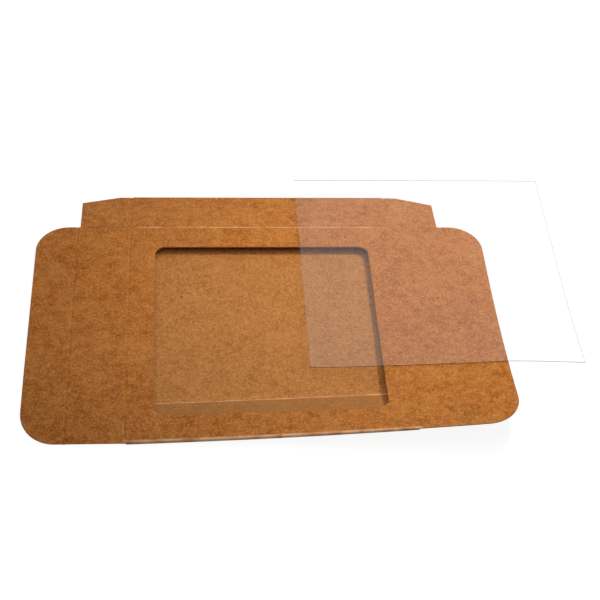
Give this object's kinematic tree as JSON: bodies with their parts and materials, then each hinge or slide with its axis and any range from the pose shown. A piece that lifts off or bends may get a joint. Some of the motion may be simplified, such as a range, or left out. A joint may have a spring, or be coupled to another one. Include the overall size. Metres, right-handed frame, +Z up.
{
  "type": "window paper box",
  "caption": "Straight tuck carton in kraft board with a square window, glued and folded flat, with its loose clear window sheet.",
  "frame": {"origin": "under the middle of the front panel, on the plane of the back panel's underside, which the carton lies on", "axes": "+X along the folds towards the end that the window sheet covers, +Y from the front fold to the back fold, +Z up out of the front panel"},
  "size_m": [0.1982, 0.1264, 0.0046],
  "materials": {
    "kraft_board": "uncoated brown kraft, matt",
    "clear_film": "clear, gloss"
  },
  "bodies": {
    "root": {"carton_body": "kraft_board", "window_film": "clear_film"},
    "closure_panel": {"left_closure_panel": "kraft_board"},
    "tuck_flap": {"left_tuck_flap": "kraft_board"},
    "dust_flap": {"left_dust_flap": "kraft_board"}
  },
  "joints": [
    {"name": "closure_crease", "type": "hinge", "parent": "root", "child": "closure_panel", "pos_m": [-0.05, 0, 0.004], "axis": [0, 1, 0], "range_deg": [0, 120]},
    {"name": "tuck_crease", "type": "hinge", "parent": "closure_panel", "child": "tuck_flap", "pos_m": [-0.07, 0, 0.004], "axis": [0, 1, 0], "range_deg": [0, 90]},
    {"name": "dust_flap_crease", "type": "hinge", "parent": "root", "child": "dust_flap", "pos_m": [-0.05, 0.05, 0.004], "axis": [0, 0.9902, -0.1399], "range_deg": [0, 120]}
  ]
}
